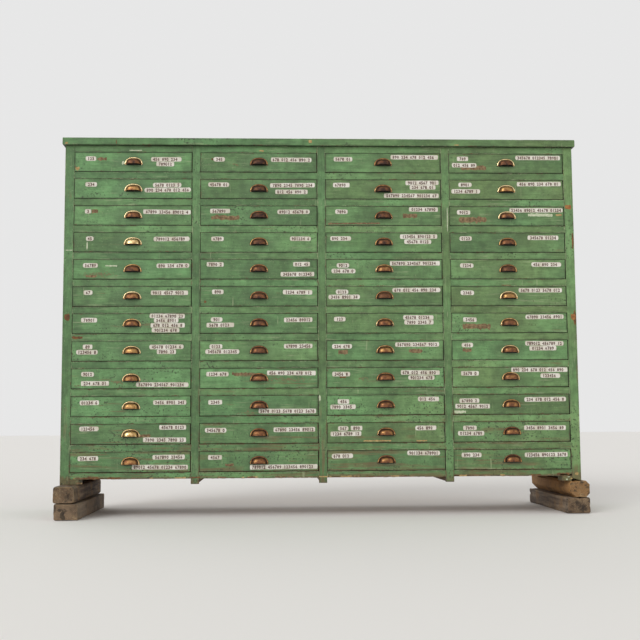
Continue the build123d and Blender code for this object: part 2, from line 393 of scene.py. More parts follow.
def makePine():   # bare sawn pine gone brown with age: dull, with darker summer rings and dust in the grain
    look = pineLook
    material, tree = newMaterial("agedBarePine")
    at = woodPlaces(tree, 0.04)
    own, grain = at["own"], at["grain"]
    broad = speckle(tree, grain, *look["broad"])
    fine = speckle(tree, grain, *look["fine"])
    colour = blendColour(tree, spread(tree, broad, 0.3, 0.7), hexColour(look["deep"]),
                         hexColour(look["pale"]))
    grime = times(tree, spread(tree, at["edge"], 0.014, 0.001), speckle(tree, own, *look["grime"]))
    colour = layered(tree, colour, look, (
        (speckle(tree, grain, *look["sway"]), 0.5, "ring"), (spread(tree, fine, 0.5, 0.8), 0.5, "ring"),
        (speckle(tree, own, *look["dusty"]), 0.6, "dust"),
        (spread(tree, at["endOn"], 0.5, 0.8), 0.55, "ring"),
        (grime, 0.5, "dust"), (speckle(tree, own, *look["stains"]), 0.55, "ring")))
    bright = addNode(tree, "ShaderNodeHueSaturation", {"Value": spread(tree, at["tone"], 0, 1, 0.8, 1.15),
                                                       "Color": colour})
    finishSurface(tree, bright.outputs[0], spread(tree, fine, 0, 1, 0.68, 0.9),
                  ((broad, 0.0005, 0.55), (fine, 0.0003, 0.6)))
    return material


# Loose timbers under the cabinet

timberLook = {
    "grey": "#93816C",
    "brown": "#4A392D",
    "warm": "#8A6B45",
    "tan": "#AD7C3E",            # the right upper timber, cut more lately
    "bleached": "#8C7B68",       # the left lower one, greyest
    "black": "#1E1711",
    "rubbed": "#A38D6A",
    "ringMm": 6,
    "pith": (-0.012, 0, 0.02),   # metres from the middle to where the rings start
    "broad": (9, 6, 0.65),
    "blotch": (45, 5, 0.6),
    "cracks": (16, 3, 0.5, 0.34, 0.27),
    "fuzz": (6, 6, 0.75, 0.52, 0.66),                      # torn fibres on the sawn ends
    "checks": (24, 6, 0.72, 0.52, 0.6),
    "pits": (9, 6, 0.7, 0.55, 0.66),
    "damp": (60, 4, 0.6, 0.5, 0.64),
    "grit": (2.3, 4, 0.6),
}


def makeTimber():   # rough-sawn softwood left outdoors: grey-brown, split along the grain, rings on its ends
    look = timberLook
    material, tree = newMaterial("weatheredSawnTimber")
    at = woodPlaces(tree, 0.05)
    own, grain = at["own"], at["grain"]
    broad = speckle(tree, grain, *look["broad"])
    blotch = speckle(tree, own, *look["blotch"])
    cracks = speckle(tree, grain, *look["cracks"])
    pits = speckle(tree, own, *look["pits"])
    colour = blendColour(tree, spread(tree, broad, 0.32, 0.68), hexColour(look["brown"]),
                         hexColour(look["grey"]))
    colour = layered(tree, colour, look, (
        (spread(tree, blotch, 0.48, 0.68), 0.8, "warm"), (spread(tree, at["tone"], 0.4, 0.05), 0.7, "tan"),
        (spread(tree, at["tone"], 0.6, 0.95), 0.6, "bleached")))
    pith = calcVector(tree, "ADD", at["fromMiddle"], look["pith"])
    wobble = addNode(tree, "ShaderNodeTexNoise", {"Vector": own, "Scale": 18, "Detail": 3})
    flat = calcVector(tree, "ADD", calcVector(tree, "MULTIPLY", pith, (1, 0, 1)),
                      scaled(tree, wobble.outputs["Color"], 0.012))
    turns = times(tree, calcVector(tree, "LENGTH", flat), math.tau * 1000 / look["ringMm"])
    endMask = spread(tree, at["endOn"], 0.55, 0.8)
    ringTone = blendColour(tree, spread(tree, calc(tree, "SINE", turns), -0.6, 0.9),
                           hexColour(look["brown"]), hexColour(look["warm"]))
    colour = blendColour(tree, times(tree, endMask, 0.6), colour, ringTone)
    worn, checks = (times(tree, endMask, speckle(tree, own, *look[name])) for name in ("fuzz", "checks"))
    rubbed = times(tree, spread(tree, at["edge"], 0.008, 0.001), spread(tree, blotch, 0.4, 0.6))
    colour = layered(tree, colour, look, (
        (worn, 0.85, "rubbed"), (checks, 0.8, "black"), (pits, 0.65, "black"),
        (speckle(tree, own, *look["damp"]), 0.38, "black"), (cracks, 0.85, "black"),
        (rubbed, 0.55, "rubbed")))
    finishSurface(tree, colour, spread(tree, broad, 0, 1, 0.75, 0.95), (
        (broad, 0.002, 0.7), (cracks, -0.003, 0.8), (pits, -0.001, 0.6),
        (speckle(tree, own, *look["grit"]), 0.0005, 0.5)))
    return material


# Metal, and finishes of two plain tones

brassLook = {
    "bright": "#EBD5A2",
    "golden": "#B58F5A",
    "dull": "#80563A",
    "dark": "#38231A",
    "cupShade": "#0E0906",         # painted shade inside the cup, near black
    "cloud": (9, 5, 0.6),
    "fine": (1.2, 3, 0.6),
    "spots": (3.5, 4, 0.6, 0.6, 0.68),
}


def makeBrass():   # stamped brass, lacquer long gone: brown, with yellow metal where hands have polished it; near-black painted shade inside the cup
    look = brassLook
    material, tree = newMaterial("agedStampedBrass")
    here = addNode(tree, "ShaderNodeTexCoord").outputs["Object"]
    inside = attribute(tree, "inside")
    cloud = speckle(tree, here, *look["cloud"])
    fine = speckle(tree, here, *look["fine"])
    amount = calc(tree, "ADD", attribute(tree, "polish"), spread(tree, cloud, 0.25, 0.75, -0.2, 0.2))
    ramp = addNode(tree, "ShaderNodeValToRGB", {0: amount})
    ramp.color_ramp.elements[0].color = hexColour(look["dark"])
    ramp.color_ramp.elements[1].color = hexColour(look["bright"])
    for position, name in ((0.35, "dull"), (0.7, "golden")):
        ramp.color_ramp.elements.new(position).color = hexColour(look[name])
    colour = layered(tree, ramp.outputs["Color"], look, (
        (speckle(tree, here, *look["spots"]), 0.55, "dark"), (inside, 0.95, "cupShade")))
    finishSurface(tree, colour, calc(tree, "MAXIMUM", spread(tree, amount, 0.0, 1.0, 0.55, 0.26), inside),
                  ((fine, 0.0001, 0.35), (cloud, 0.0005, 0.3)), spread(tree, amount, 0.0, 0.5, 0.55, 1.0))
    return material


def makePlain(name, base, other, sizeMm, roughness, bump, metallic=0.0, edgeTint=None):
    material, tree = newMaterial(name)
    here = addNode(tree, "ShaderNodeTexCoord").outputs["Object"]
    cloud = speckle(tree, here, sizeMm, 5, 0.65)
    fine = speckle(tree, here, sizeMm / 9, 3, 0.6)
    colour = blendColour(tree, spread(tree, cloud, 0.35, 0.66), hexColour(base), hexColour(other))
    if edgeTint:
        dirty = times(tree, attribute(tree, "rim"), spread(tree, cloud, 0.35, 0.62, 0.1, 1))
        foxing = speckle(tree, here, 6, 5, 0.7, 0.62, 0.7)
        colour = layered(tree, colour, {"tint": edgeTint}, ((dirty, 0.8, "tint"), (foxing, 0.45, "tint")))
    finishSurface(tree, colour, roughness, ((fine, bump, 0.5), (cloud, bump * 2, 0.4)), metallic)
    return material


paint = makePaint()
pine = makePine()
timber = makeTimber()
brass = makeBrass()
# matt paper, foxed and dirty at its rim
paper = makePlain("agedGummedPaper", "#DDD9CF", "#C7C1B1", 18, 0.85, 0.00015, edgeTint="#8B7E62")
ink = makePlain("fadedInk", "#432B27", "#765B50", 2.2, 0.8, 0.00005)              # soft brown-red, broken up
glue = makePlain("oldGlueAndPaperScraps", "#5F4A33", "#8E7857", 5, 0.85, 0.0003)  # where a label came away
chips = makePlain("chippedPine", "#94774A", "#BCA26C", 5, 0.75, 0.0003)           # clean wood under the paint
# brown primer that shows through
smudge = makePlain("paintRubbedToPrimer", "#76674A", "#66764F", 9, 0.8, 0.0002, edgeTint="#607C52")
knot = makePlain("resinousPineKnot", "#7C4F28", "#A87038", 7, 0.7, 0.0004)        # orange, bled through
rust = makePlain("brokenPineEdge", "#553A26", "#7C552E", 6, 0.85, 0.0006)         # brown broken arris
pale = makePlain("palePlasterSmear", "#A9B593", "#C9CDB4", 4, 0.85, 0.0003)       # chalky scuffs on the paint
wornScrew = makePlain("wornBrassScrew", "#C9A264", "#7D5A36", 2, 0.35, 0.0001, 1.0)    # rubbed bright on top
iron = makePlain("rustedIron", "#2E241D", "#573A26", 2, 0.6, 0.0002, 0.6)         # nail and screw heads
print("materials are made")


# Wooden boards

boardKeys = ("boardLow", "boardHigh", "grainWay", "boardTone", "handled", "battered")


def newPile():   # boards that become one mesh
    return {key: [] for key in ("points", "faces", *boardKeys, "inGap")}


def markBoard(pile, count, low, high, grain, tone, handled=0.0, battered=0.0):
    for key, value in zip(boardKeys, (tuple(low), tuple(high), grain, tone, handled, battered)):
        pile[key] += [value] * count


def bandFaces(one, two, count):   # between two rings of points, given by the first point of each
    return [(one + i, one + (i + 1) % count, two + (i + 1) % count, two + i) for i in range(count)]


def sideRing(lows, highs, bevel, parts):   # the section of a board, with broken arrises and divided sides
    corners = [(lows[0] + bevel, lows[1]), (highs[0] - bevel, lows[1]), (highs[0], lows[1] + bevel),
               (highs[0], highs[1] - bevel), (highs[0] - bevel, highs[1]), (lows[0] + bevel, highs[1]),
               (lows[0], highs[1] - bevel), (lows[0], lows[1] + bevel)]
    ring = []
    for i, (one, two) in enumerate(corners):
        after = corners[(i + 1) % 8]
        pieces = parts if i % 2 == 0 else 1
        for k in range(pieces):
            ring.append((one + (after[0] - one) * k / pieces, two + (after[1] - two) * k / pieces))
    return ring


def addBoard(pile, low, high, way, bevel, tone=None, cuts=(), parts=1, shaper=None, handled=0.0, battered=0.0,
             gapShadeAt=None):
    # A board swept along its grain (way is 0, 1 or 2). The last argument gives, at each point, how much
    # painted shade its sides get as inside a gap.
    across = [axis for axis in range(3) if axis != way]
    stations = [(low[way], bevel), (low[way] + bevel, 0)]
    stations += [(cut, 0) for cut in cuts if low[way] + bevel < cut < high[way] - bevel]
    stations += [(high[way] - bevel, 0), (high[way], bevel)]
    first = len(pile["points"])
    around = 0
    for station, inset in stations:
        ring = sideRing([low[axis] + inset for axis in across], [high[axis] - inset for axis in across],
                        bevel, parts)
        around = len(ring)
        for one, two in ring:
            point = Vector((0, 0, 0))
            point[way], point[across[0]], point[across[1]] = station, one, two
            pile["inGap"].append(gapShadeAt(point) if gapShadeAt else 0.0)
            pile["points"].append(shaper(point) if shaper else point)
    for step in range(len(stations) - 1):
        pile["faces"] += bandFaces(first + around * step, first + around * (step + 1), around)
    last = first + around * (len(stations) - 1)
    pile["faces"].append(tuple(range(first + around - 1, first - 1, -1)))
    pile["faces"].append(tuple(range(last, last + around)))
    grain = tuple(1.0 if axis == way else 0.0 for axis in range(3))
    markBoard(pile, around * len(stations), low, high, grain, dice.random() if tone is None else tone,
              handled, battered)


def setAttribute(mesh, name, values):
    kind = "FLOAT_VECTOR" if isinstance(values[0], tuple) else "FLOAT"
    layer = mesh.attributes.new(name, kind, "POINT")
    if kind == "FLOAT_VECTOR":
        layer.data.foreach_set("vector", [number for value in values for number in value])
    else:
        layer.data.foreach_set("value", values)


def pileMesh(name, pile):   # every list of a pile beside points and faces becomes a mesh attribute
    mesh = bpy.data.meshes.new(name)
    mesh.from_pydata(pile["points"], [], pile["faces"])
    for key, values in pile.items():
        if key not in ("points", "faces"):
            setAttribute(mesh, key, values)
    return mesh


def faceOutwards(mesh):
    bm = bmesh.new()
    bm.from_mesh(mesh)
    bmesh.ops.recalc_face_normals(bm, faces=bm.faces)
    bm.to_mesh(mesh)
    bm.free()


def pileObject(name, pile, material, body, slot, *nodes):
    mesh = pileMesh(name, pile)
    faceOutwards(mesh)
    return dress(newObject(name, mesh, material), body, slot, *nodes)


def looseBoxes(node):   # low and high corner of each separate board in a node whose boards don't touch
    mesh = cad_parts[node].data
    keys = [tuple(round(value, 5) for value in vertex.co) for vertex in mesh.vertices]
    group = {}

    def root(key):
        while group.get(key, key) != key:
            key = group[key]
        return key
    for polygon in mesh.polygons:
        corners = [root(keys[i]) for i in polygon.vertices]
        for corner in corners[1:]:
            group[root(corner)] = root(corners[0])
    boxes = {}
    for key, vertex in zip(keys, mesh.vertices):
        low, high = boxes.setdefault(root(key), (list(vertex.co), list(vertex.co)))
        for axis in range(3):
            low[axis] = min(low[axis], vertex.co[axis])
            high[axis] = max(high[axis], vertex.co[axis])
    ordered = sorted(boxes.values(), key=lambda box: (round(box[0][0], 3), round(box[0][2], 3)))
    return [(Vector(low), Vector(high)) for low, high in ordered]


# Frame, panels, top and back

frameLook = {
    "bevelMm": 0.8,
    "frontMm": 2,                # only points this near the front are knocked
    "knockMm": 1.3,              # how deep the knocks along the arrises go
    "knockMostMm": 2.5,
    "knockEveryMm": 45,
    "stepMm": 9,
    "chewMm": 9,                 # raggedness of the lowest rails
    "chewMostMm": 10,
    "chewUpMm": 14,              # how far up it reaches
    "footChewMm": 16,            # how much of the right foot is gone
    "footChewUpMm": 30,
    "endFrom": 1.1,              # metres from the middle; only the two ends lie beyond
    "feetBattered": 0.4,         # how far the paint is gone
}

plainBoards = {   # node: (grain, bevel in mm, finish, slot); grain along X is 0, Y is 1, Z is 2
    "foot_blocks": (2, 1.5, paint, "painted_pine"),
    "partitions": (2, 0.5, pine, "bare_pine"),
    "runners": (1, 0.6, pine, "bare_pine"),
    "guides": (1, 0.6, pine, "bare_pine"),
    "bottom_boards": (0, 0.6, pine, "bare_pine"),
}


def knocked(point, low):   # pushes the front arrises of a frame board in where something hit them
    look = frameLook
    if point.y > low.y + look["frontMm"] * mm:
        return point
    hit = noise.noise(point * (1000 / look["knockEveryMm"])) + 0.5 * noise.noise(point * 110)
    depth = max(0.0, hit - 0.28) * 2 * look["knockMm"]
    return point + Vector((0, min(depth, look["knockMostMm"]) * mm, 0))


def stileShape(low, high, chewed):   # a chewed stile loses its foot, most at the inner side
    look = frameLook
    rise = look["footChewUpMm"] * mm

    def shape(point):
        point = knocked(point, low)
        above = point.z - low.z
        if not chewed or above > rise:
            return point
        inner = 1 - (point.x - low.x) / (high.x - low.x)
        bite = (0.15 + 0.85 * inner) * 0.7 + 0.5 * noise.noise(Vector((point.x * 90, point.y * 60, 5)))
        return point + Vector((0, 0, max(0.0, bite) * look["footChewMm"] * mm * (1 - above / rise)))
    return shape


def railShape(low, high, chewed):   # lifts the lower arris of the lowest rails unevenly, as if chewed
    look = frameLook
    rise = look["chewUpMm"] * mm

    def shape(point):
        point = knocked(point, low)
        above = point.z - low.z
        if not chewed or above > rise:
            return point
        bite = noise.noise(Vector((point.x * 9, low.x, 0))) + 0.6 * noise.noise(Vector((point.x * 45, 1, 3)))
        lift = max(0.0, bite + 0.12) * look["chewMm"] * mm
        if point.x > high.x - 0.02 and high.x > look["endFrom"]:
            lift += (point.x - high.x + 0.02) * 0.5       # beside the right foot
        return point + Vector((0, 0, min(lift, look["chewMostMm"] * mm) * (1 - above / rise)))
    return shape


def evenCuts(low, high, step):
    count = max(1, round((high - low) / step))
    return [low + (high - low) * i / count for i in range(1, count)]


def buildFrame():
    look = frameLook
    bevel, step, end = look["bevelMm"] * mm, look["stepMm"] * mm, look["endFrom"]
    pile = newPile()
    for low, high in looseBoxes("face_stiles"):
        outside = low.x if low.x < -end else high.x if high.x > end else None

        # painted shade on the stiles' sides inside the gaps; the outer sides of the two end stiles get none
        def grimy(point, outside=outside):
            return 0.0 if outside is not None and abs(point.x - outside) < 0.01 else 1.0
        addBoard(pile, low, high, 2, bevel, cuts=evenCuts(low.z, high.z, step), parts=5,
                 shaper=stileShape(low, high, high.x > end), battered=0.1 if outside is None else 0.2,
                 gapShadeAt=grimy)
    pileObject("visual_face_stiles", pile, paint, "carcass", "painted_pine", "face_stiles")
    pile = newPile()
    boxes = looseBoxes("face_rails")
    lowest = min(low.z for low, high in boxes)
    for low, high in boxes:
        chewed = low.z < lowest + mm
        # every side of a rail gets painted shade, as inside a gap
        addBoard(pile, low, high, 0, bevel, cuts=evenCuts(low.x, high.x, step * (0.6 if chewed else 1)),
                 parts=2, shaper=railShape(low, high, chewed), battered=0.2 if chewed else 0.0,
                 gapShadeAt=lambda point: 1.0)
    pileObject("visual_face_rails", pile, paint, "carcass", "painted_pine", "face_rails")


def buildPlainBoards():
    for node, (way, bevel, material, slot) in plainBoards.items():
        pile = newPile()
        for low, high in looseBoxes(node):
            addBoard(pile, low, high, way, bevel * mm, battered=frameLook["feetBattered"])
        pileObject("visual_" + node, pile, material, "carcass", slot, node)


endLook = {"boards": 3, "bevelMm": 1.2}


def buildEnds():   # each end is three upright boards edge to edge
    pile = newPile()
    for low, high in looseBoxes("end_panels"):
        width = (high.y - low.y) / endLook["boards"]
        for i in range(endLook["boards"]):
            addBoard(pile, (low.x, low.y + i * width, low.z), (high.x, low.y + (i + 1) * width, high.z), 2,
                     endLook["bevelMm"] * mm)
    pileObject("visual_end_panels", pile, paint, "carcass", "painted_pine", "end_panels")


topLook = {"planks": 3, "bevelMm": 2.4, "innerBevelMm": 1.2, "dentMm": 1.8, "dentMostMm": 4, "stepMm": 8}


def buildTop():
    look = topLook
    low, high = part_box("top_boards")
    width = (high.y - low.y) / look["planks"]
    pile = newPile()

    def dented(point):   # knocks along the front arrises and the two ends
        if point.y > low.y + 5 * mm:
            return point
        dent = max(0.0, noise.noise(point * 23) + 0.4 * noise.noise(point * 90) - 0.2) * 3
        return point + Vector((0, min(dent * look["dentMm"], look["dentMostMm"]) * mm, 0))
    knocks = {"cuts": evenCuts(low.x, high.x, look["stepMm"] * mm), "parts": 3, "shaper": dented}
    # the lowest 4 mm of every plank, the underside of the top, gets painted shade
    for i in range(look["planks"]):
        addBoard(pile, (low.x, low.y + i * width, low.z), (high.x, low.y + (i + 1) * width, high.z), 0,
                 look["innerBevelMm" if i else "bevelMm"] * mm,
                 gapShadeAt=lambda point: 1.0 if point.z < low.z + 4 * mm else 0.0, **({} if i else knocks))
    pileObject("visual_top_boards", pile, paint, "carcass", "painted_pine", "top_boards")


backLook = {"boards": 8, "lapMm": 9, "gapMm": 0.8, "innerBevelMm": 0.4, "outerBevelMm": 1.0}


def buildBack():   # lapped boards: the outer half of each covers the joint below it
    low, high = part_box("back_boards")
    height = (high.z - low.z) / backLook["boards"]
    lap, gap = backLook["lapMm"] * mm, backLook["gapMm"] * mm
    half = (low.y + high.y) / 2
    pile = newPile()
    for i in range(backLook["boards"]):
        tone = dice.random()
        bottom = low.z + i * height
        addBoard(pile, (low.x, low.y, bottom), (high.x, half, bottom + height - gap), 0,
                 backLook["innerBevelMm"] * mm, tone)
        outerLow = bottom - (lap if i else 0)
        outerHigh = bottom + height - (lap + gap if i < backLook["boards"] - 1 else 0)
        addBoard(pile, (low.x, half, outerLow), (high.x, high.y, outerHigh), 0,
                 backLook["outerBevelMm"] * mm, tone)
    pileObject("visual_back_boards", pile, pine, "carcass", "bare_pine", "back_boards")


# Loose timbers

bearerLook = {"stepMm": 16, "pieceMm": 11, "roughMm": 1.8}

bearerCorners = {   # left and right timber: mm off each corner from the lower left round, arc steps, tone
    "upper_bearers": ((10, 12, 17, 13, 6, 0.6), (28, 18, 15, 11, 1, 0.05)),
    "lower_bearers": ((7, 6, 5, 9, 3, 0.95), (7, 6, 7, 5, 3, 0.45)),
}


def bearerSection(low, high, corners):
    spots = [(low.x, low.z, 180), (high.x, low.z, 270), (high.x, high.z, 0), (low.x, high.z, 90)]
    ring = []
    for (x, z, turn), radius in zip(spots, corners[:4]):
        r = radius * mm
        centreX = x + (r if x == low.x else -r)
        centreZ = z + (r if z == low.z else -r)
        for i in range(corners[4] + 1):
            angle = math.radians(turn + 90 * i / corners[4])
            ring.append((centreX + r * math.cos(angle), centreZ + r * math.sin(angle)))
    dense = []
    for i, (x, z) in enumerate(ring):
        nextX, nextZ = ring[(i + 1) % len(ring)]
        pieces = max(1, round(math.hypot(nextX - x, nextZ - z) / (bearerLook["pieceMm"] * mm)))
        dense += [(x + (nextX - x) * k / pieces, z + (nextZ - z) * k / pieces) for k in range(pieces)]
    return dense


def addBearer(pile, low, high, corners):   # a rounded section swept back, roughened inwards only
    middle = (low + high) / 2
    section = bearerSection(low, high, corners)
    steps = round((high.y - low.y) / (bearerLook["stepMm"] * mm))
    count = len(section)
    first = len(pile["points"])
    points, faces = [], []

    def roughen(point):
        rough = 0.5 + 0.5 * noise.fractal(Vector((point.x * 40, point.y * 7, point.z * 40)), 1.0, 2.0, 3)
        split = max(0.0, noise.noise(Vector((point.x * 70, point.y * 2.5, point.z * 70))) - 0.3) * 6
        inward = (middle - point) * Vector((1, 0, 1))
        return point + inward.normalized() * max(0.0, rough + split) * bearerLook["roughMm"] * mm
    for step in range(steps + 1):
        y = low.y + (high.y - low.y) * step / steps
        shrink = 0.94 if step in (0, steps) else 1
        points += [roughen(Vector((middle.x + (x - middle.x) * shrink, y,
                                   middle.z + (z - middle.z) * shrink))) for x, z in section]
    for step in range(steps):
        faces += bandFaces(step * count, (step + 1) * count, count)
    for step, y, inward in ((0, low.y, 1), (steps, high.y, -1)):
        rings = [step * count]
        for share in (0.7, 0.4, 0.15):
            rings.append(len(points))
            for x, z in section:
                pit = abs(noise.noise(Vector((x * 60 * share, y, z * 60 * share)))) * 0.0015
                points.append(Vector((middle.x + (x - middle.x) * share, y + inward * pit,
                                      middle.z + (z - middle.z) * share)))
        for outer, inner in zip(rings, rings[1:]):
            faces += bandFaces(outer, inner, count)
        faces.append(tuple(rings[-1] + i for i in range(count)))
    pile["points"] += points
    pile["faces"] += [tuple(first + i for i in face) for face in faces]
    pile["inGap"] += [0.0] * len(points)
    markBoard(pile, len(points), low, high, (0.0, 1.0, 0.0), corners[5])


def smoothByAngle(mesh, degrees):   # soft shading except across edges sharper than this
    mesh.polygons.foreach_set("use_smooth", [True] * len(mesh.polygons))
    mesh.set_sharp_from_angle(angle=math.radians(degrees))


def buildBearers():
    for node, cornerSets in bearerCorners.items():
        pile = newPile()
        for (low, high), corners in zip(looseBoxes(node), cornerSets):
            addBearer(pile, low, high, corners)
        thing = pileObject("visual_" + node, pile, timber, "carcass", "weathered_timber", node)
        smoothByAngle(thing.data, 40)


buildFrame()
buildPlainBoards()
buildEnds()
buildTop()
buildBack()
buildBearers()
print("carcass and bearers are dressed")


# Drawers

drawerLook = {   # millimetres, as the solid drawers are made
    "length": 560, "front": 20, "side": 12, "sideHeight": 84, "bottom": 6, "back": 12, "backHeight": 66,
    "frontDrop": 2.5, "bevel": 1.0, "boxBevel": 0.8, "bottomBevel": 0.4,
    "behindFront": 0.2,          # where the box starts
    "lean": -0.8,                # the fronts hang a little to the left in their openings
    "sway": (0.4, 0.8, 0.4),     # how far each may sit off that place, along X, Y and Z
}


def drawerPlace(node):   # middle of the front's lower edge, half the width, and the top
    low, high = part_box(node)
    spot = Vector(((low.x + high.x) / 2, high.y - drawerLook["length"] * mm, low.z))
    return spot, (high.x - low.x) / 2, high.z


def buildDrawer(node, body):   # returns the lower left corner of the front's painted face
    look = {key: value * mm for key, value in drawerLook.items() if key != "sway"}
    spot, half, top = drawerPlace(node)
    shift = Vector([dice.uniform(-reach, reach) for reach in drawerLook["sway"]]) * mm
    shift.x += look["lean"]
    low = Vector((spot.x - half, spot.y, spot.z + look["frontDrop"])) + shift
    high = Vector((spot.x + half, spot.y + look["front"], top)) + shift
    pile = newPile()
    # the front's sides get painted shade, as inside the gaps around it
    addBoard(pile, low, high, 0, look["bevel"], handled=1.0, gapShadeAt=lambda point: 1.0)
    pileObject(node + "_front", pile, paint, body, "painted_pine", node)
    pile = newPile()
    start, rear = high.y + look["behindFront"], spot.y + look["length"]
    inner = half - look["side"]
    bottomTop = spot.z + look["bottom"]
    for side in (-1, 1):
        ends = sorted((spot.x + side * half, spot.x + side * inner))
        addBoard(pile, (ends[0], start, spot.z), (ends[1], rear, spot.z + look["sideHeight"]), 1,
                 look["boxBevel"])
    addBoard(pile, (spot.x - inner, start, spot.z), (spot.x + inner, rear, bottomTop), 0, look["bottomBevel"])
    addBoard(pile, (spot.x - inner, rear - look["back"], bottomTop),
             (spot.x + inner, rear, bottomTop + look["backHeight"]), 0, look["boxBevel"])
    pileObject(node + "_box", pile, pine, body, "bare_pine")
    return low


# Cup pulls

pullLook = {
    "halfWidth": 43.6, "height": 37, "above": 33, "wall": 1.4, "steps": 30,
    "section": (      # mm in from the outline, mm out from the drawer, and how polished it is
        (0, 0, 0.3), (0.2, 1.2, 0.55), (1.0, 2.1, 0.85), (2.6, 2.7, 1.05), (4.4, 2.7, 1.05), (6.0, 2.2, 0.8),
        (7.0, 1.6, 0.2), (7.8, 1.8, -0.1), (8.3, 3.2, -0.1), (9.0, 6.5, -0.05), (10.2, 10.5, 0.05),
        (12.2, 14.6, 0.15), (15.2, 18.0, 0.22), (19.5, 20.6, 0.22), (25.0, 22.0, 0.18), (31.0, 22.5, 0.1),
        (36.4, 22.6, 0.0)),
    "lip": 2.6,                  # mm by which the cup's front edge is higher than the ears
    "earWiden": 1.15,            # the band is this much wider at its two lower ends
    "earShine": 0.25,            # and brighter
    "earFrom": 0.85,             # share of the half width where an end starts
    "cupFrom": 9,                # mm in from the outline where the cup starts
    "boxyRim": 2.15, "boxyCup": 3.0,                     # 2 is an ellipse, more is squarer
    "column": {1: 0.0, 2: -0.66, 3: -0.58, 4: -0.25},    # painted light: the two outer columns brighter, as if lit from the sides
    "rowShade": 0.028,                                   # painted shade: the higher the pull, the darker its cup, as if in shadow
    "rimShine": {(1, 5): -0.45, (1, 7): -0.3, (1, 8): -0.15, (1, 9): -0.2, (1, 10): -0.15, (1, 11): -0.2,
                 (1, 12): -0.38, (2, 4): 0.15, (2, 5): 0.2, (3, 5): 0.15, (3, 7): 0.15, (3, 8): 0.2,
                 (4, 1): 0.2, (4, 2): 0.3, (4, 3): 0.3, (4, 4): -0.25, (4, 5): -0.3, (4, 6): 0.3,
                 (4, 10): -0.2, (4, 11): -0.42, (4, 12): -0.42},
    "cupShine": {(1, 2): 0.25, (1, 4): 0.55, (1, 8): 0.2, (1, 10): 0.2, (1, 11): 0.3, (4, 2): 0.3,
                 (4, 6): 0.15, (3, 5): 0.15, (3, 8): 0.15},
    "screwAt": 38.2, "screwUp": 4.6, "brightScrews": (1, 4),
}


def sideInset(inset):   # how far in from the outline, measured along the drawer
    look = pullLook
    ear = look["earWiden"] * look["cupFrom"]
    if inset <= look["cupFrom"]:
        return look["earWiden"] * inset
    share = (inset - look["cupFrom"]) / (look["height"] - look["cupFrom"])
    return ear + (look["halfWidth"] - ear) * share


def pullTemplate():   # one cup pull at the origin, its back on the plane y = 0
    look = pullLook
    points, polish, cup = [], [], []
    for inset, out, shine in look["section"]:
        lift = 0.1 * max(0.0, 1 - inset / 4) ** 2
        squarer = min(1.0, inset / look["cupFrom"]) - 0.4 * max(0.0, inset / look["cupFrom"] - 1) / 3
        power = 2 / (look["boxyRim"] + (look["boxyCup"] - look["boxyRim"]) * squarer)
        lip = look["lip"] * min(1.0, max(0.0, inset - look["cupFrom"]) / 8)
        for i in range(look["steps"] + 1):
            turn = lift + (math.pi - 2 * lift) * i / look["steps"]
            across = math.copysign(abs(math.cos(turn)) ** power, math.cos(turn))
            up = (look["height"] - inset) * abs(math.sin(turn)) ** power
            points.append(Vector(((look["halfWidth"] - sideInset(inset)) * across, -out, max(up, lip))) * mm)
            ear = max(0.0, abs(across) - look["earFrom"]) / (1 - look["earFrom"]) if inset < 6.5 else 0.0
            polish.append(shine + look["earShine"] * ear)
            cup.append(1.0 if inset > look["cupFrom"] else 0.0)
    row = look["steps"] + 1
    faces = [(start, start + 1, start + row + 1, start + row)
             for ring in range(len(look["section"]) - 1) for start in range(ring * row, ring * row + row - 1)]
    mesh = pileMesh("pullSkin", {"points": points, "faces": faces, "polish": polish, "cup": cup})
    skin = newObject("pullSkin", mesh)
    solid = skin.modifiers.new("wall", "SOLIDIFY")
    solid.thickness = look["wall"] * mm
    solid.offset = -1
    thick = baked(skin)
    # the inner skin of the cup, which the brass paints near black as painted shade
    setAttribute(thick, "inside", [0.0 if i < len(points) else 1.0 for i in range(len(thick.vertices))])
    smoothByAngle(thick, 50)
    return thick


def buildPull(template, node, place, centre, body):
    mesh = template.copy()
    mesh.name = node + "_pull"
    mesh.transform(Matrix.Translation(centre))
    # painted light by column and painted shade by row, on top of each pull's own polish from the tables
    rimPolishAndLight = pullLook["column"][place[0]] + pullLook["rimShine"].get(place, 0.0) + dice.uniform(-0.08, 0.08)
    shine = pullLook["cupShine"].get(place, 0.0) + pullLook["rowShade"] * place[1] - rimPolishAndLight * 0.75
    old, cup = ([0.0] * len(mesh.vertices) for key in range(2))
    mesh.attributes["polish"].data.foreach_get("value", old)
    mesh.attributes["cup"].data.foreach_get("value", cup)
    mesh.attributes["polish"].data.foreach_set("value", [p + rimPolishAndLight + shine * c for p, c in zip(old, cup)])
    dress(newObject(node + "_pull", mesh, brass), body, "aged_brass")


# Paper labels with plain running numbers

labelLook = {
    "height": 22,                # mm
    "thick": 0.3,
    "gap": 0.15,                 # from the paint
    "step": 6,                   # mm between folds
    "curl": 0.9,                 # most that an end stands off
    "digit": 14.8,               # mm high
    "pitch": 10.6,               # mm from one digit to the next
    "corners": (0.12, 0.2, 0.3),                 # how round a label's corners are, as a share of its height
    "ragged": 0.05,
    "torn": 0.9,                 # how ragged the scraps are
    "scrapThick": 0.16,
    "scrapStep": 0.04,           # each further scrap is thicker, so that no two share one plane
    "fleckArea": 55,             # square mm of rubbed paint for each fleck in it
}

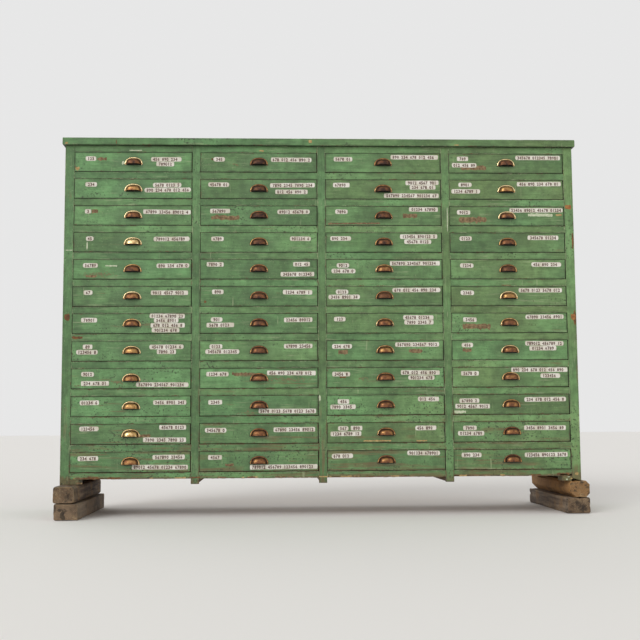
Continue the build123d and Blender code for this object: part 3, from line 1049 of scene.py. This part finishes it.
labels = {   # (column, row): left, right and middle height in mm from the front's lower left corner
    (1, 1): ((50, 100, 62), (360, 505, 60), (385, 470, 37)),
    (1, 2): ((50, 105, 66), (370, 505, 64), (330, 550, 40)), (1, 3): ((50, 80, 65), (325, 550, 63)),
    (1, 4): ((57, 93, 63), (375, 545, 62)), (1, 5): ((45, 115, 64), (390, 545, 63)),
    (1, 6): ((50, 92, 64), (365, 540, 63)),
    (1, 7): ((40, 115, 63), (360, 525, 82), (380, 495, 61), (365, 525, 38), (370, 500, 15)),
    (1, 8): ((50, 95, 66), (20, 120, 41), (360, 520, 65), (395, 485, 42)),
    (1, 9): ((45, 105, 67), (45, 175, 24), (300, 545, 17)), (1, 10): ((40, 130, 64), (380, 535, 64)),
    (1, 11): ((40, 130, 72), (410, 535, 77), (335, 535, 19)),
    (1, 12): ((35, 130, 64), (380, 530, 68), (285, 545, 22)), (2, 1): ((60, 115, 61), (335, 530, 60)),
    (2, 2): ((35, 135, 67), (330, 545, 65), (355, 510, 33)), (2, 3): ((45, 140, 68), (365, 520, 65)),
    (2, 4): ((50, 110, 63), (425, 525, 64)), (2, 5): ((30, 110, 69), (440, 520, 70), (380, 540, 22)),
    (2, 6): ((55, 110, 67), (390, 530, 65)), (2, 7): ((50, 105, 65), (395, 530, 63), (30, 160, 39)),
    (2, 8): ((45, 105, 66), (25, 185, 42), (395, 530, 67)), (2, 9): ((30, 135, 66), (315, 545, 70)),
    (2, 10): ((40, 105, 63), (275, 545, 20)), (2, 11): ((25, 125, 62), (345, 540, 63)),
    (2, 12): ((40, 105, 65), (235, 550, 19)), (3, 1): ((40, 130, 64), (315, 545, 75)),
    (3, 2): ((35, 115, 67), (385, 545, 79), (405, 530, 57), (280, 545, 16)),
    (3, 3): ((45, 105, 66), (400, 540, 78)), (3, 4): ((20, 120, 65), (355, 535, 75), (375, 505, 50)),
    (3, 5): ((50, 110, 65), (25, 140, 38), (305, 545, 75)),
    (3, 6): ((45, 105, 66), (10, 160, 42), (315, 545, 75)),
    (3, 7): ((35, 90, 66), (365, 510, 73), (370, 510, 50)), (3, 8): ((25, 120, 65), (325, 535, 73)),
    (3, 9): ((25, 110, 63), (350, 535, 69), (385, 510, 45)),
    (3, 10): ((50, 105, 63), (15, 135, 38), (430, 530, 73)),
    (3, 11): ((50, 100, 67), (110, 165, 68), (15, 160, 42), (415, 515, 67)),
    (3, 12): ((20, 120, 68), (375, 530, 79)), (4, 1): ((40, 95, 69), (15, 135, 37), (325, 545, 75)),
    (4, 2): ((45, 110, 70), (10, 150, 38), (330, 545, 75)), (4, 3): ((35, 100, 64), (290, 550, 75)),
    (4, 4): ((45, 105, 66), (375, 525, 70)), (4, 5): ((45, 110, 64), (390, 535, 69)),
    (4, 6): ((45, 110, 62), (325, 535, 74)), (4, 7): ((55, 120, 62), (355, 540, 75)),
    (4, 8): ((45, 100, 70), (350, 535, 77), (370, 500, 54)),
    (4, 9): ((40, 125, 64), (280, 550, 80), (420, 515, 52)),
    (4, 10): ((30, 125, 64), (10, 175, 38), (340, 540, 69)),
    (4, 11): ((45, 110, 65), (20, 145, 40), (335, 535, 64)), (4, 12): ((35, 130, 68), (335, 540, 67)),
}

residue = {   # where an old label came away, same measure, with its height and what is left of it
    (1, 1): ((105, 150, 61, 16, glue), (3, 22, 14, 14, chips), (222, 236, 42, 12, pale)),
    (1, 3): ((82, 112, 66, 18, glue),), (1, 4): ((60, 66, 30, 34, pale),),
    (1, 5): ((45, 190, 21, 36, smudge), (150, 205, 62, 6, pale), (60, 110, 12, 9, glue)),
    (1, 9): ((180, 250, 30, 26, smudge), (8, 60, 12, 12, smudge)), (1, 11): ((300, 370, 38, 14, glue),),
    (2, 1): ((50, 60, 62, 12, rust), (140, 185, 33, 16, smudge)), (2, 3): ((50, 185, 36, 20, glue),),
    (2, 6): ((18, 30, 20, 10, rust),), (2, 9): ((150, 260, 66, 14, glue), (300, 520, 40, 26, smudge)),
    (2, 10): ((190, 290, 12, 16, smudge),), (2, 12): ((120, 160, 30, 12, glue),),
    (3, 3): ((370, 440, 47, 20, glue), (10, 260, 9, 7, glue)),
    (3, 8): ((55, 100, 38, 20, glue), (390, 455, 42, 18, glue)),
    (3, 9): ((60, 90, 48, 8, rust), (140, 200, 40, 18, smudge)),
    (3, 11): ((170, 300, 8, 6, chips), (420, 470, 7, 6, chips)), (4, 1): ((58, 182, 25, 20, glue),),
    (4, 3): ((43, 178, 28, 26, glue), (515, 545, 52, 9, chips), (380, 500, 52, 14, pale)),
    (4, 7): ((52, 187, 30, 24, glue),), (4, 8): ((50, 92, 45, 18, glue),), (4, 10): ((5, 60, 12, 12, pale),),
}


def newSheets():
    return {"points": [], "faces": [], "rim": []}


def sheetOffset(x, left, right, curl):   # how far the paper stands off at x
    across = abs(2 * (x - left) / (right - left) - 1)
    return labelLook["gap"] + curl * max(0.0, across - 0.72) ** 2 / 0.08


def addSheet(pile, corner, left, right, middle, height, curl, ragged, thick):
    # A slip of paper on the face at corner, rounded at its ends; ragged is how torn its outline is.
    columns = max(4, round((right - left) / labelLook["step"]))
    rows = (-1, -0.8, 0.8, 1)
    radius = min(height * dice.choice(labelLook["corners"]), (right - left) / 2.2)
    first = len(pile["points"])
    seed = dice.random() * 100
    tilt = dice.uniform(-0.012, 0.012)
    for back in (0, 1):
        for i in range(columns + 1):
            x = left + (right - left) * (0.5 - 0.5 * math.cos(math.pi * i / columns))
            into = max(0.0, 1 - min(x - left, right - x) / radius)
            half = height / 2 * max(0.45, math.sqrt(1 - into * into))
            for row in rows:
                torn = ragged * noise.noise(Vector((x * 0.12, math.copysign(2, row) + seed, seed)))
                z = middle + row * half * (1 + torn) + tilt * (x - (left + right) / 2)
                y = -sheetOffset(x, left, right, curl) - (0 if back else thick)
                pile["points"].append(corner + Vector((x, y, z)) * mm)
                pile["rim"].append(1.0 if abs(row) == 1 or i in (0, columns) else 0.0)
    wide, layer = len(rows), (columns + 1) * len(rows)

    def at(i, j):
        return first + i * wide + j
    for i in range(columns):
        for j in range(wide - 1):
            face = (at(i, j), at(i + 1, j), at(i + 1, j + 1), at(i, j + 1))
            pile["faces"] += [face, tuple(layer + face[k] for k in (0, 3, 2, 1))]
    rim = [at(i, 0) for i in range(columns)] + [at(columns, j) for j in range(wide - 1)]
    rim += [at(i, wide - 1) for i in range(columns, 0, -1)] + [at(0, j) for j in range(wide - 1, 0, -1)]
    pile["faces"] += [(one, one + layer, two + layer, two) for one, two in zip(rim, rim[1:] + rim[:1])]
    return tilt


def addFlecks(pile, corner, left, right, middle, height):   # rubbed paint: small scraps, most in the middle
    for i in range(round((right - left) * height / labelLook["fleckArea"])):
        x = min(max(dice.gauss((left + right) / 2, (right - left) / 4.5), 7), 545)
        z = min(max(dice.gauss(middle, height / 4.5), 5), 86)
        wide = dice.uniform(2, 12)
        addSheet(pile, corner, x - wide / 2, x + wide / 2, z, dice.uniform(1.5, 5.5), 0.0, labelLook["torn"],
                 dice.uniform(0.05, 0.1))


def digitShapes():   # points and faces of each digit, one unit high, its middle at x = 0
    shapes = {}
    for digit in "0123456789":
        text = bpy.data.curves.new("digit", "FONT")
        text.body = digit
        text.align_x = "CENTER"
        text.resolution_u = 2
        text.offset = 0.045
        mesh = baked(newObject("digit", text))
        height = max(vertex.co.y for vertex in mesh.vertices)
        shapes[digit] = ([vertex.co.copy() / height for vertex in mesh.vertices],
                         [tuple(polygon.vertices) for polygon in mesh.polygons])
    return shapes


def addNumber(pile, shapes, corner, left, right, middle, curl, tilt, start):   # digits in groups on a label
    places = max(1, int((right - left - 14) / labelLook["pitch"]))
    begin = (left + right) / 2 - (places - 1) * labelLook["pitch"] / 2
    group = 3 + start % 4
    for i in range(places):
        if places > 5 and i % (group + 1) == group:
            continue
        points, faces = shapes[str((start + i) % 10)]
        x = begin + i * labelLook["pitch"]
        size = labelLook["digit"] * dice.uniform(0.92, 1.05)
        first = len(pile["points"])
        for point in points:
            across = x + point.x * size * 0.92
            z = middle + (point.y - 0.5) * size + tilt * (across - (left + right) / 2)
            y = -sheetOffset(across, left, right, curl) - labelLook["thick"] - 0.06
            pile["points"].append(corner + Vector((across, y, z)) * mm)
        pile["faces"] += [tuple(first + k for k in face) for face in faces]


def buildLabels(node, place, corner, body, shapes):
    slips, printed = newSheets(), {"points": [], "faces": []}
    first = (place[0] - 1) * 12 + place[1]
    for i, (left, right, middle) in enumerate(labels[place]):
        curl = dice.choice((0.05, 0.1, 0.15, labelLook["curl"] * dice.random()))
        tilt = addSheet(slips, corner, left, right, middle, labelLook["height"], curl, labelLook["ragged"],
                        labelLook["thick"])
        addNumber(printed, shapes, corner, left, right, middle, curl, tilt, first + 3 * i)
    pileObject(node + "_labels", slips, paper, body, "label_paper")
    dress(newObject(node + "_numbers", pileMesh(node + "_numbers", printed), ink), body, "label_paper")
    for i, (left, right, middle, height, material) in enumerate(residue.get(place, ())):
        scrap = newSheets()
        if material == smudge:
            addFlecks(scrap, corner, left, right, middle, height)
        else:
            addSheet(scrap, corner, left, right, middle, height, 0.0, labelLook["torn"],
                     labelLook["scrapThick"] + labelLook["scrapStep"] * i)
        pileObject(node + "_scrap" + str(i), scrap, material, body, "label_paper")


# Screws, nails and nail holes, set out by one Geometry Nodes tree

headLook = {"screwMm": 3.0, "nailMm": 3.0, "holeMm": 2.2, "sinkMm": 1.3, "strayMm": 3}


def circle(count, radius, up):
    return [(radius * math.cos(math.tau * i / count), radius * math.sin(math.tau * i / count), up)
            for i in range(count)]


def slottedHead():   # two halves of a dome on either side of a slot, on a thin disc
    points, faces, steps, around = [], [], 6, 12
    row = steps + 1
    for side in (1, -1):
        first = len(points)
        for radius, up in ((1.0, 0.15), (0.8, 0.42), (0.45, 0.55)):
            for i in range(row):
                angle = math.radians(-80 + 160 * i / steps)
                points.append((side * max(0.14, radius * math.cos(angle)), radius * math.sin(angle), up))
        for start in (first, first + row):
            faces += [(a, a + 1, a + row + 1, a + row) for a in range(start, start + steps)]
        faces.append(tuple(first + 2 * row + i for i in range(row)))
        faces.append(tuple(first + i * row for i in range(3)) + tuple(first + i * row - 1 for i in (3, 2, 1)))
        faces.append(tuple(first + steps - i for i in range(row)))
    first = len(points)
    points += circle(around, 1.02, 0.16) + circle(around, 1.02, -0.3)
    faces += [tuple(first + i for i in range(around)),
              tuple(first + 2 * around - 1 - i for i in range(around))]
    return points, faces + bandFaces(first + around, first, around)


def domedHead():
    points, faces, around = [], [], 9
    for radius, up in ((1.0, -0.3), (1.0, 0.1), (0.8, 0.3), (0.4, 0.4)):
        points += circle(around, radius, up)
    for ring in range(3):
        faces += bandFaces(ring * around, (ring + 1) * around, around)
    return points, faces + [tuple(3 * around + i for i in range(around)), tuple(range(around - 1, -1, -1))]


def headObject(name, shape):
    points, faces = shape
    mesh = pileMesh(name, {"points": points, "faces": faces})
    faceOutwards(mesh)
    return newObject(name, mesh)


def headTree():   # puts a head on every point, facing along the point's "aim", each spun by chance
    tree = bpy.data.node_groups.new("headsOnPoints", "GeometryNodeTree")
    sockets = {"Points": "NodeSocketGeometry", "Head": "NodeSocketObject", "Size": "NodeSocketFloat",
               "Spin": "NodeSocketFloat", "Seed": "NodeSocketInt", "Finish": "NodeSocketMaterial"}
    for name, kind in sockets.items():
        tree.interface.new_socket(name, in_out="INPUT", socket_type=kind)
    tree.interface.new_socket("Geometry", in_out="OUTPUT", socket_type="NodeSocketGeometry")
    given = addNode(tree, "NodeGroupInput").outputs
    aim = addNode(tree, "GeometryNodeInputNamedAttribute", {"Name": "aim"}, data_type="FLOAT_VECTOR")
    turned = addNode(tree, "FunctionNodeAlignRotationToVector", {"Vector": aim.outputs[0]}, axis="Z")
    least = addNode(tree, "ShaderNodeMath", {0: given["Spin"], 1: -1}, operation="MULTIPLY")
    chance = addNode(tree, "FunctionNodeRandomValue", data_type="FLOAT")
    tree.links.new(least.outputs[0], chance.inputs[2])
    tree.links.new(given["Spin"], chance.inputs[3])
    tree.links.new(given["Seed"], chance.inputs["Seed"])
    spin = addNode(tree, "ShaderNodeCombineXYZ", {"Z": chance.outputs[1]})
    asTurn = addNode(tree, "FunctionNodeEulerToRotation", {0: spin.outputs[0]})
    both = addNode(tree, "FunctionNodeRotateRotation", {0: turned.outputs[0], 1: asTurn.outputs[0]},
                   rotation_space="LOCAL")
    head = addNode(tree, "GeometryNodeObjectInfo", {"Object": given["Head"]})
    placed = addNode(tree, "GeometryNodeInstanceOnPoints", {
        "Points": given["Points"], "Instance": head.outputs["Geometry"], "Rotation": both.outputs[0],
        "Scale": given["Size"]})
    real = addNode(tree, "GeometryNodeRealizeInstances", {0: placed.outputs[0]})
    named = addNode(tree, "GeometryNodeSetMaterial",
                    {"Geometry": real.outputs[0], "Material": given["Finish"]})
    addNode(tree, "NodeGroupOutput", {0: named.outputs[0]})
    return tree


def setHeads(name, tree, spots, head, sizeMm, material, body, slot):   # spots: (point, aim)
    holder = newObject(name, pileMesh(name, {"points": [point for point, aim in spots], "faces": [],
                                             "aim": [aim for point, aim in spots]}))
    nodes = holder.modifiers.new("heads", "NODES")
    nodes.node_group = tree
    values = {"Head": head, "Size": sizeMm * mm, "Spin": math.pi, "Seed": len(spots), "Finish": material}
    for item in tree.interface.items_tree:
        if item.in_out == "INPUT" and item.name in values:
            nodes[item.identifier] = values[item.name]
    made = baked(holder)
    made.name = name
    if "aim" in made.attributes:
        made.attributes.remove(made.attributes["aim"])
    return dress(newObject(name, made, *([] if made.materials else [material])), body, slot)


def carcassNails():   # back boards and planks into every upright
    backLow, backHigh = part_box("back_boards")
    topLow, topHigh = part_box("top_boards")
    sink, stray = headLook["sinkMm"] * mm, headLook["strayMm"]
    uprights = [(low.x + high.x) / 2 for low, high in looseBoxes("partitions") + looseBoxes("end_panels")]
    boardHeight = (backHigh.z - backLow.z) / backLook["boards"]
    width = (topHigh.y - topLow.y) / topLook["planks"]
    spots = []
    for x in uprights:
        for i in range(backLook["boards"]):
            spots += [(Vector((x + dice.uniform(-stray, stray) * mm, backHigh.y - sink,
                               backLow.z + (i + share) * boardHeight)), (0, 1, 0)) for share in (0.2, 0.78)]
        for i in range(topLook["planks"]):
            spots += [(Vector((x + dice.uniform(-stray, stray) * mm, topLow.y + (i + share) * width,
                               topHigh.z - sink)), (0, 0, 1)) for share in (0.25, 0.75)]
    return spots


nailHoles = {   # (column, row): mm from the front's lower left corner, filled nails that have bled rust
    (2, 5): ((24, 66), (530, 60)), (4, 6): ((395, 22),), (4, 7): ((372, 40), (385, 36), (402, 36)),
    (1, 4): ((350, 6),), (2, 1): ((52, 62), (160, 34)), (1, 9): ((210, 20),), (2, 8): ((300, 80),),
}


# Marks on the face of the frame

edgeChips = {   # along the lower edge of the bottom rails, mm
    "count": 44, "reach": 1175, "height": 180.5, "rise": (0, 2), "width": (8, 55), "tall": (3, 7),
    "finishes": (rust, glue, glue, chips),
}

marks = {   # by the node whose front they lie on: name, X, Z, width, height in mm, finish and how ragged
    "face_stiles": (
        ("knot", 1181, 1463, 30, 24, knot, 0.7), ("brokenRight", 1198, 928, 14, 70, rust, 0.8),
        ("brokenHigher", 1199, 1300, 9, 80, rust, 0.8), ("stainRight", 1190, 930, 22, 30, knot, 1.0),
        ("brokenLeft", -1212, 933, 26, 30, rust, 0.9), ("redChip", -1163, 836, 50, 12, rust, 0.9),
        ("whiteChip", -27, 548, 9, 26, pale, 0.6), ("lowLeft", -1100, 183, 90, 9, rust, 1.0),
        ("lowLeftToo", -985, 181, 60, 7, rust, 1.0), ("lowRight", 1120, 184, 60, 10, rust, 1.0),
        ("lowMiddle", 120, 182, 70, 6, chips, 1.0), ("footYellow", 1185, 186, 16, 12, chips, 0.9),
        ("scuffA", -1208, 1250, 34, 3, pale, 1.0), ("scuffB", 592, 1400, 4, 130, pale, 1.0),
        ("scuffC", -1150, 1540, 40, 5, pale, 1.0), ("scuffD", -900, 1733, 60, 4, pale, 1.0),
        ("chipA", -300, 1733, 22, 7, chips, 1.0), ("chipB", 870, 1082, 46, 4, glue, 1.0)),
    "foot_blocks": (
        ("footPaleA", 1146, 171, 9, 5, pale, 1.0), ("footPaleB", 1158, 163, 12, 5, chips, 1.0),
        ("footPaleC", 1137, 160, 8, 7, pale, 1.0), ("footPaleD", -1143, 160, 30, 8, glue, 1.0)),
    "top_boards": (
        ("splitTop", -990, 1770, 4, 24, rust, 0.8), ("chipTop", -66, 1776, 16, 12, chips, 0.8),
        ("chipTopToo", 640, 1762, 26, 5, chips, 1.0), ("chipTopLeft", -1225, 1764, 14, 10, chips, 0.9)),
}


def buildMarks():
    look = edgeChips
    chipped = [("edge" + str(i), dice.uniform(-look["reach"], look["reach"]),
                look["height"] + dice.uniform(*look["rise"]), dice.uniform(*look["width"]),
                dice.uniform(*look["tall"]), dice.choice(look["finishes"]), 1.0)
               for i in range(look["count"])]
    for node, listed in marks.items():
        corner = Vector((0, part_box(node)[0].y + 0.1 * mm, 0))
        if node == "face_stiles":
            listed = [*listed, *chipped]
        for i, (name, x, z, width, height, material, ragged) in enumerate(listed):
            scrap = newSheets()
            thick = 0.1 + 0.02 * (i % 9)      # so that marks that overlap don't share one plane
            addSheet(scrap, corner, x - width / 2, x + width / 2, z, height, 0.0, ragged, thick)
            pileObject("mark_" + name, scrap, material, "carcass", "painted_pine")


pullMesh = pullTemplate()
digits = digitShapes()
heads = headTree()
screwHead = headObject("screwHead", slottedHead())
nailHead = headObject("nailHead", domedHead())
for node in sorted(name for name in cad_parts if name.startswith("drawer_")):
    body = "body_" + node[7:]
    place = (int(node[-1]), int(node[8:10]))      # column and row
    corner = buildDrawer(node, body)
    low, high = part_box(node)
    centre = Vector(((low.x + high.x) / 2, corner.y, corner.z + pullLook["above"] * mm))
    buildPull(pullMesh, node, place, centre, body)
    buildLabels(node, place, corner, body, digits)
    ears = [(centre + Vector((side * pullLook["screwAt"], -2.4, pullLook["screwUp"])) * mm, (0, -1, 0))
            for side in (-1, 1)]
    metal = wornScrew if place[0] in pullLook["brightScrews"] else iron
    setHeads(node + "_screws", heads, ears, screwHead, headLook["screwMm"], metal, body, "iron_screw")
    if place in nailHoles:
        holes = [(corner + Vector((x, 0.1, z)) * mm, (0, -1, 0)) for x, z in nailHoles[place]]
        setHeads(node + "_nails", heads, holes, nailHead, headLook["holeMm"], iron, body, "iron_screw")
setHeads("carcass_nails", heads, carcassNails(), nailHead, headLook["nailMm"], iron, "carcass", "iron_screw")
for thing in (screwHead, nailHead):
    bpy.data.objects.remove(thing)
buildMarks()
print("drawers, pulls, labels, screws and marks are made")
